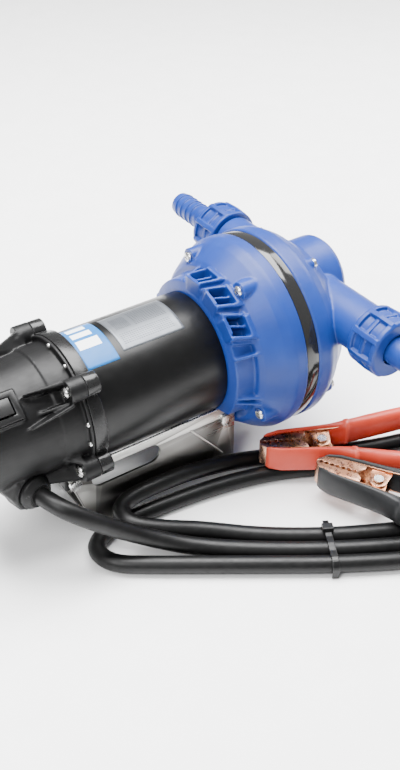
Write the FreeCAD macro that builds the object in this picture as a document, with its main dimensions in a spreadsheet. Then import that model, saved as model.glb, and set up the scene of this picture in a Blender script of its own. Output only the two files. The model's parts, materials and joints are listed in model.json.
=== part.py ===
import FreeCAD, Part
import math
import os
import re

import Sketcher

# Self-priming twelve volt diaphragm pump on a steel foot bracket, with a battery cable and two spring clamps.
# The origin is the middle of the four foot holes, on the ground plane.
# +X runs along the motor axis from the motor's rear cover to the pump head, +Z is up.

V = FreeCAD.Vector
doc = FreeCAD.newDocument("transfer_pump")
sheet = doc.addObject("Spreadsheet::Sheet", "dims")
DIMENSIONS = {
    "axis_height": 88,          # ground to motor axis
    "motor_radius": 43,
    "motor_front": 42.5,        # where the can meets the pump housing
    "can_length": 93.2,
    "can_wall": 2.2,
    "bell_thick": 9,
    "bell_radius": 46.6,
    "cover_flange": 8,
    "cover_radius": 44.5,
    "cover_end": -136,
    "ear_circle": 49,
    "ear_radius": 7.5,
    "shaft_radius": 5,
    "running_gap": 0.05,
    "bearing_radius": 13,
    "magnet_inner": 33,
    "core_radius": 31.8,
    "core_half": 30,
    "commutator_radius": 12,
    "housing_back": 42.5,
    "hub_radius": 51,
    "drum_start": 58.5,
    "drum_radius": 70.5,
    "drum_end": 88.5,
    "band_back": 88.9,
    "band_wide": 9.5,
    "band_radius": 69.8,
    "head_back": 98.8,
    "head_front": 139,
    "boss_front": 156,
    "boss_radius": 30,
    "boss_lift": 24,            # boss and port axis above the motor axis
    "port_x": 133.5,
    "port_radius": 17.8,
    "port_bore": 9,
    "port_reach": 77.5,
    "nut_length": 25.5,
    "nut_radius": 20.4,
    "thread_radius": 15,
    "tail_radius": 10,
    "tail_bore": 7,
    "tail_neck": 13,
    "barb_pitch": 6.6,
    "channel_half": 31.5,
    "sheet_thick": 2,
    "plate_top": 56.4,
    "foot_outer": 57.5,
    "foot_wide": 16,
    "hole_spacing_x": 99,
    "hole_spacing_y": 36,
    "foot_hole": 3.3,
    "cable_radius": 6,
    "lead_radius": 2.75,
    "gland_x": -99.5,           # middle of the gland's seat
    "gland_y": -31,
    "gland_z": 57,
    "gland_dir_x": 0.2419,      # the gland points sideways, swung 14 degrees forward
    "gland_dir_y": -0.9703,
    "switch_x": -113,
    "switch_long": 26,
    "switch_wide": 15,
    "rear_screw_x": -70,
    "rear_screw_z": 46,
    "front_screw_x": 49,
    "front_screw_z": 46,
    "cant": 4,                  # degrees that the wobble hub leans
    "wobble_x": 68,
    "valve_x": 87.8,
    "clamp_wide": 20,
    "clamp_lift": 12.4,
}
for row, (alias, value) in enumerate(DIMENSIONS.items(), start=1):
    sheet.set("A%d" % row, alias)
    sheet.set("B%d" % row, str(value))
    sheet.setAlias("B%d" % row, alias)
doc.recompute()

WORD = re.compile(r"\b(%s)\b" % "|".join(sorted(DIMENSIONS, key=len, reverse=True)))
X_AXIS, Y_AXIS, Z_AXIS = V(1, 0, 0), V(0, 1, 0), V(0, 0, 1)
TURN = {"x": FreeCAD.Rotation(Z_AXIS, X_AXIS), "y": FreeCAD.Rotation(Z_AXIS, Y_AXIS), "z": FreeCAD.Rotation()}
SPARE_CELL = "D1"
NODES = []
counter = {}


def size(alias):
    """A driving dimension as a number."""
    return float(sheet.get(alias))


def formula(text):
    """Turn the short form of a formula into one that names the sheet."""
    return WORD.sub(r"dims.\1", str(text))


def bind(item, field, text):
    item.setExpression(field, formula(text))


def place(item, x=0, y=0, z=0, turn=None):
    if turn is not None:
        item.Placement = FreeCAD.Placement(V(0, 0, 0), turn)
    for letter, text in (("x", x), ("y", y), ("z", z)):
        bind(item, "Placement.Base." + letter, text)
    return item


def new(kind, name):
    counter[name] = counter.get(name, 0) + 1
    return doc.addObject(kind, "%s_%d" % (name, counter[name]))


def rod(radius, length, x=0, y=0, z="axis_height", along="x", turn=None, angle=360):
    """A cylinder from the point x, y, z along one axis."""
    item = new("Part::Cylinder", "rod")
    bind(item, "Radius", radius)
    bind(item, "Height", length)
    item.Angle = angle
    return place(item, x, y, z, turn or TURN[along])


def taper(radius, end_radius, length, x=0, y=0, z="axis_height", along="x", turn=None):
    item = new("Part::Cone", "taper")
    bind(item, "Radius1", radius)
    bind(item, "Radius2", end_radius)
    bind(item, "Height", length)
    return place(item, x, y, z, turn or TURN[along])


def block(length, width, height, x, y, z, turn=None):
    """A box whose lowest corner is at x, y, z."""
    item = new("Part::Box", "block")
    bind(item, "Length", length)
    bind(item, "Width", width)
    bind(item, "Height", height)
    return place(item, x, y, z, turn)


def fuse(*parts):
    item = new("Part::MultiFuse", "fuse")
    item.Shapes = list(parts)
    return item


def cut(base, *tools):
    item = new("Part::Cut", "cut")
    item.Base = base
    item.Tool = tools[0] if len(tools) == 1 else fuse(*tools)
    return item


def group(*parts):
    item = new("Part::Compound", "group")
    item.Links = list(parts)
    return item


def tube(outer, inner, length, **where):
    """A pipe: one cylinder with another taken out of it."""
    return cut(rod(outer, length, **where), rod(inner, length, **where))


def turned(points):
    """A body revolved round the motor axis. Points are formulas for the station and the radius."""
    body = new("PartDesign::Body", "turned")
    sketch = body.newObject("Sketcher::SketchObject", body.Name + "_profile")
    plane = [f for f in body.Origin.OriginFeatures if f.Role == "XZ_Plane"][0]
    sketch.AttachmentSupport = [(plane, "")]
    sketch.MapMode = "FlatFace"
    count = len(points)
    rough = [V(evaluate(a), evaluate(b), 0) for a, b in points]
    for i in range(count):
        sketch.addGeometry(Part.LineSegment(rough[i], rough[(i + 1) % count]), False)
    for i in range(count):
        sketch.addConstraint(Sketcher.Constraint("Coincident", i, 2, (i + 1) % count, 1))
    for i, (a, b) in enumerate(points):
        for kind, text, value in (("DistanceX", a, rough[i].x), ("DistanceY", b, rough[i].y)):
            index = sketch.addConstraint(Sketcher.Constraint(kind, -1, 1, i, 1, value))
            sketch.setExpression("Constraints[%d]" % index, formula(text))
    spin = body.newObject("PartDesign::Revolution", body.Name + "_spin")
    spin.Profile = sketch
    spin.ReferenceAxis = (sketch, ["H_Axis"])
    spin.Angle = 360
    return place(body, z="axis_height")


def evaluate(text):
    """The value of a formula, worked out in a spare cell of the sheet."""
    sheet.set(SPARE_CELL, "=" + str(text))
    sheet.recompute()
    return float(sheet.get(SPARE_CELL))


def node(name, item):
    item.Label = name
    NODES.append(item)
    return item


def pattern(make, angles):
    """The same piece made at several angles round the motor axis."""
    return [make(a) for a in angles]


def round_axis(radius, angle):
    """Formulas for the Y and Z of a point on a circle round the motor axis."""
    a = math.radians(angle)
    y = "(%s) * %.6f" % (radius, math.cos(a))
    z = "axis_height + (%s) * %.6f" % (radius, math.sin(a))
    return {"y": y, "z": z}


# ---------------------------------------------------------------- motor
EAR_ANGLES = (45, 135, 205, 335)
RIM_SCREW_ANGLES = (15, 87, 114, 165, 184, 355)
HOUSING_SCREW_ANGLES = (60, 116, 207, 337)
SCREW_CIRCLE = 61.5
LOUVRE_ANGLES = (91, 113, 136)
BELL_BACK = "motor_front - can_length - bell_thick"
COVER_BACK = BELL_BACK + " - cover_flange"
RIM_CIRCLE = "cover_radius - 0.4"
RIM_FACE = COVER_BACK + " + 5.7"
GUSSETS = {37: 26, 53: 26, 127: 26, 143: 26, 197: 15, 213: 15, 327: 26, 343: 26}    # angle: length
BARBS = 5
BARB_START = "port_reach + nut_length + 0.8 + tail_neck"


def make_motor():
    can_back = "motor_front - can_length"
    node("motor_can", tube("motor_radius", "motor_radius - can_wall", "can_length", x=can_back))

    magnets = []
    for start in (-62, 118):
        turn = FreeCAD.Rotation(X_AXIS, start).multiply(TURN["x"]).multiply(FreeCAD.Rotation(Z_AXIS, 90))
        outer = rod("motor_radius - can_wall", "core_half * 2", x="-core_half", turn=turn, angle=124)
        inner = rod("magnet_inner", "core_half * 2", x="-core_half")
        magnets.append(cut(outer, inner))
    node("field_magnets", group(*magnets))

    core = rod("core_radius", "core_half * 2", x="-core_half")
    slots = []
    for i in range(12):
        turn = FreeCAD.Rotation(X_AXIS, 30 * i)
        slot = block("core_half * 2 + 2", 4, 12, "-core_half - 1", 0, "axis_height", turn)
        y = "-2 * %.5f - 16 * %.5f" % (math.cos(math.radians(30 * i)), math.sin(math.radians(30 * i)))
        z = "axis_height - 2 * %.5f + 16 * %.5f" % (math.sin(math.radians(30 * i)), math.cos(math.radians(30 * i)))
        slots.append(place(slot, "-core_half - 1", y, z))
    node("armature_core", cut(core, rod("shaft_radius", "core_half * 2", x="-core_half"), *slots))

    turns = []
    for back in ("-core_half - 7.5", "core_half + 0.2"):
        turns.append(tube("core_radius - 3", "commutator_radius + 2", 7.3, x=back))
    node("armature_windings", group(*turns))
    node("commutator", tube("commutator_radius", "shaft_radius", 11, x=-49))
    node("motor_shaft", rod("shaft_radius", 133, x=-59.2))

    ears = pattern(lambda a: rod("ear_radius", "bell_thick", x=BELL_BACK, **round_axis("ear_circle", a)), EAR_ANGLES)
    disc = fuse(rod("bell_radius", "bell_thick", x=BELL_BACK), *ears)
    holes = pattern(lambda a: rod(2.1, "bell_thick", x=BELL_BACK, **round_axis("ear_circle", a)), EAR_ANGLES)
    seat = rod("bearing_radius", "bell_thick", x=BELL_BACK)
    node("rear_end_bell", cut(disc, seat, *holes))
    bearings = [tube("bearing_radius", "shaft_radius + running_gap", 8, x=x)
                for x in (BELL_BACK + " + 0.5", "housing_back + 1")]
    node("motor_bearings", group(*bearings))

    frame = tube("motor_radius - can_wall - 0.1", "commutator_radius + 1.5", 2.5, x="motor_front - can_length + 0.1")
    boxes, brushes, springs = [], [], []
    for side in (1, -1):
        low = 12.6 if side > 0 else -34
        box = block(6.4, 9, 21.4, -48.2, -4.5, "axis_height + %s" % low)
        brush_low = 12.1 if side > 0 else -23
        slot = block(5.4, 6, 23, -47.9, -3, "axis_height + %s" % (12 if side > 0 else -35))
        boxes.append(cut(box, slot))
        brushes.append(block(5.2, 5.8, 10.9, -47.8, -2.9, "axis_height + %s" % brush_low))
        spring_low = 23.1 if side > 0 else -33.8
        spring = {"x": -45.2, "y": 0, "z": "axis_height + %s" % spring_low, "along": "z"}
        springs.append(tube(2.3, 1.5, 10.7, **spring))
    node("brush_holder", fuse(frame, *boxes))
    node("brushes", group(*brushes))
    node("brush_springs", group(*springs))


def make_rear_cover():
    cup = turned([(COVER_BACK + " + cover_flange", "38"), (COVER_BACK + " + cover_flange", "cover_radius + 1.6"),
                  (RIM_FACE, "cover_radius + 1.6"), (RIM_FACE, "cover_radius - 2.4"), (COVER_BACK, "cover_radius - 2.4"),
                  (COVER_BACK + " - 9", "cover_radius - 2.8"), (COVER_BACK + " - 9", "cover_radius - 3.8"),
                  ("cover_end + 10", "cover_radius - 7.4"), ("cover_end + 3", "cover_radius - 9.8"),
                  ("cover_end", "cover_radius - 15"), ("cover_end", "0"),
                  ("cover_end + 2.6", "0"), ("cover_end + 2.6", "cover_radius - 17"),
                  ("cover_end + 10", "cover_radius - 10"), (COVER_BACK + " + 2", "38")])
    ears = pattern(lambda a: rod("ear_radius + 0.2", "cover_flange + 3", x=COVER_BACK + " - 3",
                                 **round_axis("ear_circle", a)), EAR_ANGLES)
    gussets = []
    for angle, length in GUSSETS.items():
        turn = FreeCAD.Rotation(X_AXIS, angle - 90)
        a = math.radians(angle)
        wedge = new("Part::Wedge", "gusset")
        for field, value in zip(("Xmin", "Xmax", "X2min", "X2max", "Ymin", "Ymax", "Zmin", "Zmax", "Z2min", "Z2max"),
                                (0, length, length - 1, length, 0, 11.5, -1.1, 1.1, -1.1, 1.1)):
            setattr(wedge, field, value)
        wedge.Placement = FreeCAD.Placement(V(0, 0, 0), turn.multiply(FreeCAD.Rotation(X_AXIS, 90)))
        place(wedge, COVER_BACK + " - %d" % length, "(cover_radius - 6.5) * %.5f" % math.cos(a),
              "axis_height + (cover_radius - 6.5) * %.5f" % math.sin(a))
        gussets.append(wedge)
    foot = block(16, "2 * (channel_half - sheet_thick) - 0.4", 14, COVER_BACK + " - 8",
                 "-channel_half + sheet_thick + 0.2", 40)
    gland_boss = rod(13.5, 24 + GLAND_SEAT, turn=gland_turn(), **gland_point(-24))
    switch_seat = switch_block("switch_long + 6", "switch_wide + 6", 34, 6)
    shell = fuse(cup, *ears, *gussets, foot, gland_boss, switch_seat)
    hollow = turned([(COVER_BACK + " + cover_flange + 1", "0"), (COVER_BACK + " + cover_flange + 1", "38"),
                     (COVER_BACK + " + 2", "38"), ("cover_end + 10", "cover_radius - 10"),
                     ("cover_end + 2.6", "cover_radius - 17"), ("cover_end + 2.6", "0")])
    ear_holes = pattern(lambda a: rod(2.1, "cover_flange + 3", x=COVER_BACK + " - 3",
                                      **round_axis("ear_circle", a)), EAR_ANGLES)
    rim_holes = pattern(lambda a: rod(1.3, 4, x=RIM_FACE + " - 0.01", **round_axis(RIM_CIRCLE, a)),
                        RIM_SCREW_ANGLES)
    gland_hole = rod(8, 30, turn=gland_turn(), **gland_point(-26))
    gland_face = rod(12.2, 12, turn=gland_turn(), **gland_point(GLAND_SEAT))
    foot_hole = rod(1.7, 62, x="rear_screw_x", y=-31, z="rear_screw_z", along="y")
    window = switch_block("switch_long", "switch_wide", 26, 20)
    node("rear_cover", cut(shell, hollow, *ear_holes, *rim_holes, gland_hole, gland_face,
                           foot_hole, window))
    ear_screws = []
    for angle in EAR_ANGLES:
        at = round_axis("ear_circle", angle)
        shank = rod(2, 18, x=COVER_BACK + " - 3", **at)
        head = rod(3.9, 2.6, x=COVER_BACK + " - 5.6", **at)
        ear_screws.append(fuse(shank, head))
    node("rear_cover_screws", group(*ear_screws))
    rim = pattern(lambda a: fuse(rod(1.2, 2.2, x=RIM_FACE, **round_axis(RIM_CIRCLE, a)),
                                 rod(1.75, 1.4, x=RIM_FACE + " - 1.4", **round_axis(RIM_CIRCLE, a))),
                  RIM_SCREW_ANGLES)
    node("end_bell_screws", group(*rim))


def gland_turn():
    """The gland points out of the cover's side, swung a little forward."""
    return FreeCAD.Rotation(Z_AXIS, V(size("gland_dir_x"), size("gland_dir_y"), 0))


def gland_point(along):
    """Formulas for the point that lies this far out along the gland."""
    return {"x": "gland_x + (%s) * gland_dir_x" % along, "y": "gland_y + (%s) * gland_dir_y" % along, "z": "gland_z"}


SWITCH_ANGLE = 128
GLAND_SEAT = 2.4                # the nut's seat, outwards from the gland point


def switch_block(long, wide, low, high, shift=0):
    """A box square to the cover's wall at the switch, from radius low to low + high."""
    turn = FreeCAD.Rotation(X_AXIS, SWITCH_ANGLE - 90)
    a = math.radians(SWITCH_ANGLE)
    y = "(%s) * %.6f - (%s) / 2 * %.6f" % (low, math.cos(a), wide, math.sin(a))
    z = "axis_height + (%s) * %.6f + (%s) / 2 * %.6f" % (low, math.sin(a), wide, math.cos(a))
    return block(long, wide, high, "switch_x + (%s) - (%s) / 2" % (shift, long), y, z, turn)


def make_switch_and_gland():
    bezel = switch_block("switch_long + 4", "switch_wide + 4", 40, 2.6)
    barrel = switch_block("switch_long - 0.4", "switch_wide - 0.4", 24, 16)
    well = switch_block("switch_long - 4", "switch_wide - 3.4", 33, 10)
    node("switch_housing", cut(fuse(bezel, barrel), well))
    pad = switch_block("switch_long - 7", "switch_wide - 5", 37.4, 7.4)
    turn = FreeCAD.Rotation(X_AXIS, SWITCH_ANGLE - 90).multiply(FreeCAD.Rotation(X_AXIS, 90))
    hub = rod(3, "switch_wide - 5", turn=turn, x="switch_x", **switch_pin("switch_wide - 5"))
    node("switch_rocker", fuse(pad, hub))

    def along_gland(radius, start, length):
        return rod(radius, length, turn=gland_turn(), **gland_point(start))

    node("gland_body", cut(along_gland(7.9, -20, 20 + GLAND_SEAT), along_gland(5.4, -20, 20 + GLAND_SEAT)))
    cap = fuse(along_gland(11.6, GLAND_SEAT + 0.1, 2.6),
               taper(11.6, 8.2, 4, turn=gland_turn(), **gland_point(GLAND_SEAT + 2.7)))
    node("gland_nut", cut(cap, along_gland(7.4, GLAND_SEAT, 7)))
    node("gland_seal", cut(along_gland(7.35, GLAND_SEAT + 0.1, 6.4), along_gland("cable_radius + 0.02", GLAND_SEAT, 7)))


def switch_pin(wide):
    a = math.radians(SWITCH_ANGLE)
    y = "39.4 * %.6f + (%s) / 2 * %.6f" % (math.cos(a), wide, math.sin(a))
    z = "axis_height + 39.4 * %.6f - (%s) / 2 * %.6f" % (math.sin(a), wide, math.cos(a))
    return {"y": y, "z": z}


# ---------------------------------------------------------------- pump
def make_housing():
    shell = turned([("housing_back", "bearing_radius"), ("housing_back", "motor_radius + 1.6"),
                    ("housing_back + 2", "hub_radius"), ("drum_start", "hub_radius + 1"),
                    ("drum_start", "hub_radius + 5"), ("drum_start + 3", "hub_radius + 8.5"),
                    ("drum_start + 15", "drum_radius - 3"), ("drum_start + 20", "drum_radius - 0.6"),
                    ("drum_start + 22", "drum_radius"), ("drum_end", "drum_radius"),
                    ("drum_end", "band_radius - 1.2"), ("drum_end + 5", "band_radius - 1.2"),
                    ("drum_end + 5", "62.5"), ("valve_x - 3", "62.5"), ("drum_start + 6", "52"),
                    ("drum_start - 1", "46"), ("housing_back + 3", "40"), ("housing_back + 3", "18"),
                    ("housing_back + 11", "17"), ("housing_back + 11", "bearing_radius")])
    boxes = []
    for angle in LOUVRE_ANGLES:
        turn = FreeCAD.Rotation(X_AXIS, angle - 90)
        at = round_axis(44, angle)
        frame = block(15.4, 15, 13.4, 0, 0, 0, turn)
        y = "(%s) - 7.5 * %.6f" % (at["y"], math.sin(math.radians(angle)))
        z = "%s + 7.5 * %.6f" % (at["z"], math.cos(math.radians(angle)))
        place(frame, "drum_start - 15.4", y, z)
        pocket = block(11, 11, 6, 0, 0, 0, turn)
        at = round_axis(55, angle)
        y = "(%s) - 5.5 * %.6f" % (at["y"], math.sin(math.radians(angle)))
        z = "%s + 5.5 * %.6f" % (at["z"], math.cos(math.radians(angle)))
        place(pocket, "drum_start - 13.4", y, z)
        boxes.append(cut(frame, pocket))
    lugs, lug_holes = [], []
    for angle in HOUSING_SCREW_ANGLES:
        lugs.append(rod(6.2, 20, x="drum_start + 3", **round_axis(SCREW_CIRCLE, angle)))
        lug_holes.append(rod(2.05, 33, x="drum_start - 4", **round_axis(SCREW_CIRCLE, angle)))
        lug_holes.append(rod(4.2, 7, x="drum_start - 4", **round_axis(SCREW_CIRCLE, angle)))
    saddle = block(15.8, "2 * (channel_half - sheet_thick) - 0.4", 12, "housing_back + 0.1",
                   "-channel_half + sheet_thick + 0.2", 37)
    outside = fuse(shell, *boxes, *lugs, saddle)
    plates = [block("drum_start - housing_back + 0.2", 30, 57, "housing_back - 0.2", low, 0)
              for low in ("channel_half - sheet_thick - 0.2", "-channel_half + sheet_thick + 0.2 - 30")]
    cavity = turned([("housing_back + 3", "18"), ("housing_back + 3", "40"), ("drum_start - 1", "46"),
                     ("drum_start + 6", "52"), ("valve_x - 3", "62.5"), ("drum_end + 6", "62.5"),
                     ("drum_end + 6", "0"), ("housing_back + 11", "0"), ("housing_back + 11", "17")])
    can_mouth = rod("motor_radius + 0.1", 3, x="housing_back - 3")
    saddle_hole = rod(1.7, 62, x="front_screw_x", y=-31, z="front_screw_z", along="y")
    node("pump_housing", cut(outside, cavity, *plates, *lug_holes, can_mouth, saddle_hole))
    screws = []
    for angle in HOUSING_SCREW_ANGLES:
        at = round_axis(SCREW_CIRCLE, angle)
        screws.append(fuse(rod(2, 22, x="drum_start + 3", **at), rod(3.8, 2.4, x="drum_start + 0.6", **at)))
    node("housing_screws", group(*screws))


def lean_turn():
    """The wobble parts lean a few degrees about Y."""
    return FreeCAD.Rotation(Y_AXIS, size("cant")).multiply(TURN["x"])


def leaning(radius, length, along, across_y=0, across_z=0):
    """A cylinder on the leaning axis, this far along it from the wobble centre."""
    a = math.radians(size("cant"))
    x = "wobble_x + (%s) * %.6f + (%s) * %.6f" % (along, math.cos(a), across_z, math.sin(a))
    z = "axis_height - (%s) * %.6f + (%s) * %.6f" % (along, math.sin(a), across_z, math.cos(a))
    return rod(radius, length, x=x, y=across_y, z=z, turn=lean_turn())


def piston_places(reach):
    """Y and Z of the three pistons round the leaning axis."""
    angles = [math.radians(90 + 120 * i) for i in range(3)]
    return [(round(reach * math.cos(a), 4), round(reach * math.sin(a), 4)) for a in angles]


def make_wobble():
    hub = cut(fuse(leaning(9, 14, -5), rod(8.5, 5, x="wobble_x - 10")), rod("shaft_radius", 30, x="wobble_x - 12"))
    node("wobble_hub", hub)
    node("wobble_bearing", cut(leaning(17, 9, -4.5), leaning("9 + running_gap", 9, -4.5)))
    carrier = [leaning(22, 8, -4)]
    carrier += [leaning(12, 7, -2, y, z) for y, z in piston_places(31)]
    bore = cut(fuse(*carrier), leaning(17, 20, -10))
    node("wobble_plate", bore)
    caps = [leaning(9.5, 5, 5.05, y, z) for y, z in piston_places(33)]
    node("piston_caps", group(*caps))


def make_valve_block():
    sheet_ring = rod(62.3, 1.8, x="valve_x - 3")
    node("diaphragm", sheet_ring)
    plate = rod(62.3, 5.4, x="valve_x - 1.1")
    cups, ports = [], []
    for a in (90, 210, 330):
        cups.append(rod(15, 1.6, x="valve_x - 1.2", **round_axis(33, a)))
        for radius in (26, 41):
            ports.append(rod(3, 6, x="valve_x - 1.2", **round_axis(radius, a)))
    node("valve_plate", cut(plate, *cups, *ports))
    discs = []
    for radius in (26, 41):
        for angle in (90, 210, 330):
            at = round_axis(radius, angle)
            discs.append(fuse(rod(5.6, 1.2, x="valve_x + 4.4", **at), rod(1.2, 3, x="valve_x + 4.4", **at)))
    node("valve_flaps", group(*discs))
    seal = tube(62, 58.6, 2.6, x="valve_x + 4.4")
    node("chamber_seal", seal)


def make_head():
    outside = turned([("head_back - 5", "62.6"), ("head_back - 5", "band_radius - 1.2"),
                      ("head_back", "band_radius - 1.2"), ("head_back", "drum_radius"),
                      ("head_back + 9", "drum_radius"), ("head_back + 12", "drum_radius - 0.8"),
                      ("head_back + 20", "drum_radius - 5.5"), ("head_back + 28", "drum_radius - 12.5"),
                      ("head_front - 5", "drum_radius - 18"), ("head_front - 1", "drum_radius - 25"),
                      ("head_front", "drum_radius - 33"), ("head_front", "0"), ("head_front - 4", "0"),
                      ("head_front - 4", "drum_radius - 33"), ("head_back + 20", "drum_radius - 13"),
                      ("head_back + 6", "62.6")])
    boss = fuse(rod("boss_radius", "boss_front - head_back - 24", x="head_back + 20", z="axis_height + boss_lift"),
                taper("boss_radius", "boss_radius - 3", 4, x="boss_front - 4", z="axis_height + boss_lift"))
    lift = "axis_height + boss_lift"
    bar = rod("port_radius", "2 * port_reach", x="port_x", y="-port_reach", z=lift, along="y")
    necks = rod("thread_radius", "2 * port_reach + 27.2", x="port_x", y="-port_reach - 13.6", z=lift, along="y")
    hollow = turned([("head_back - 6", "0"), ("head_back - 6", "62.6"), ("head_back + 6", "62.6"),
                     ("head_back + 20", "drum_radius - 13"), ("head_front - 4", "drum_radius - 33"),
                     ("head_front - 4", "0")])
    wall = tube(34, 31, "head_front - head_back - 6", x="head_back + 3")
    bores = [rod("port_bore", "port_reach + 13.7 - 9", x="port_x", y="9", z=lift, along="y"),
             rod("port_bore", "port_reach + 13.7 - 9", x="port_x", y="-port_reach - 13.7", z=lift, along="y"),
             rod(6, 40, x="port_x", y=-20, z=lift, along="y"),
             rod(6.5, 26, x="port_x - 26", y=22, z=lift, along="x"),
             rod(6.5, 26, x="port_x - 26", y=-46, z=lift, along="x")]
    tips = [rod(2.05, 60, x="head_back - 20", **round_axis(SCREW_CIRCLE, a)) for a in HOUSING_SCREW_ANGLES]
    tips += [rod(4.4, 12, x="head_back + 23", **round_axis(SCREW_CIRCLE, a)) for a in HOUSING_SCREW_ANGLES]
    bosses = [rod(5.2, 21, x="head_back + 2", **round_axis(SCREW_CIRCLE, a)) for a in HOUSING_SCREW_ANGLES]
    dome = cut(fuse(outside, boss, bar, necks, *bosses), hollow)
    node("pump_head", cut(fuse(dome, cut(wall, rod("port_bore + 6", 200, x="port_x", y=-100, z=lift, along="y"))),
                          *bores, *tips))
    node("head_screws", group(*[fuse(rod(2, 20, x="head_back + 4", **round_axis(SCREW_CIRCLE, a)),
                                     rod(3.7, 2.6, x="head_back + 23.01", **round_axis(SCREW_CIRCLE, a)))
                                for a in HOUSING_SCREW_ANGLES]))


def make_bypass():
    lift = "axis_height + boss_lift"
    at = {"x": "port_x", "z": lift, "along": "y"}
    poppet = fuse(rod(8, 2.4, y=9.1, **at), rod(2.4, 12, y=11.4, **at), taper(5.7, 4, 3, y="9.1 - 3 + 0.01", **at))
    node("bypass_poppet", poppet)
    node("bypass_spring", tube(5.4, 4, 11, y=11.8, **at))
    node("bypass_retainer", cut(rod("port_bore", 3, y=23, **at), rod(2.6, 3, y=23, **at),
                                *[rod(1.9, 3, x="port_x + %.4f" % (6 * math.cos(a)), y=23,
                                      z=lift + " + %.4f" % (6 * math.sin(a)), along="y")
                                  for a in (0.6, 2.17, 3.74, 5.31)]))


def make_band():
    half = tube("band_radius", "band_radius - 1.1", "band_wide", x="band_back")
    gap = block(20, 10, 20, "band_back - 4", -5, "axis_height - band_radius - 10")
    ears = [block("band_wide", 2, 13, "band_back", low, "axis_height - band_radius - 12") for low in (5, -7)]
    bolt_z = "axis_height - band_radius - 6.5"
    bore = rod(2.1, 20, x="band_back + band_wide / 2", y=-10, z=bolt_z, along="y")
    node("band_clamp", cut(fuse(cut(half, gap), *ears), bore))
    at = {"x": "band_back + band_wide / 2", "z": bolt_z, "along": "y"}
    bolt = fuse(rod(2, 20, y=-9, **at), rod(3.8, 2.6, y=-9.7, **at))
    nut = cut(rod(3.9, 3.2, y=7.1, **at), rod(2, 3.2, y=7.1, **at))
    node("band_bolt_and_nut", group(bolt, nut))


def make_ports():
    lift = "axis_height + boss_lift"
    gaskets = []
    for name, sign in (("inlet", -1), ("outlet", 1)):
        turn = TURN["y"] if sign > 0 else FreeCAD.Rotation(Z_AXIS, V(0, -1, 0))

        def at(reach):
            return {"x": "port_x", "y": "%d * (%s)" % (sign, reach), "z": lift, "turn": turn}

        ribs = []
        for i in range(8):
            a = math.radians(45 * i)
            ribs.append(rod(1.7, "nut_length - 1", x="port_x + nut_radius * %.5f" % math.cos(a),
                            y="%d * (port_reach + 1)" % sign, z=lift + " + nut_radius * %.5f" % math.sin(a),
                            turn=turn))
        outside = fuse(rod("nut_radius", "nut_length - 0.5", **at("port_reach + 0.5")), *ribs)
        bore = rod("thread_radius + 0.35", "nut_length - 6", **at("port_reach + 0.4"))
        mouth = rod("tail_radius + 0.9", "nut_length + 2", **at("port_reach"))
        node(name + "_union_nut", cut(outside, bore, mouth))
        gaskets.append(cut(rod("thread_radius - 0.4", 2, **at("port_reach + 13.7")),
                           rod("port_bore", 2, **at("port_reach + 13.7"))))
        barbs = [rod("thread_radius - 0.3", 3.2, **at("port_reach + 15.8")),
                 rod("tail_radius - 0.3", 7.5, **at("port_reach + 18.9")),
                 rod("tail_radius", "tail_neck", **at("port_reach + nut_length + 0.8")),
                 rod("tail_radius - 1.1", "%d * barb_pitch" % BARBS, **at(BARB_START))]
        for i in range(BARBS):
            barbs.append(taper("tail_radius", "tail_radius - 1.1", "barb_pitch - 1.2",
                               **at(BARB_START + " + barb_pitch * %d" % i)))
        inside = rod("tail_bore", 90, **at("port_reach"))
        node(name + "_hose_tail", cut(fuse(*barbs), inside))
    node("union_gaskets", group(*gaskets))


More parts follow.
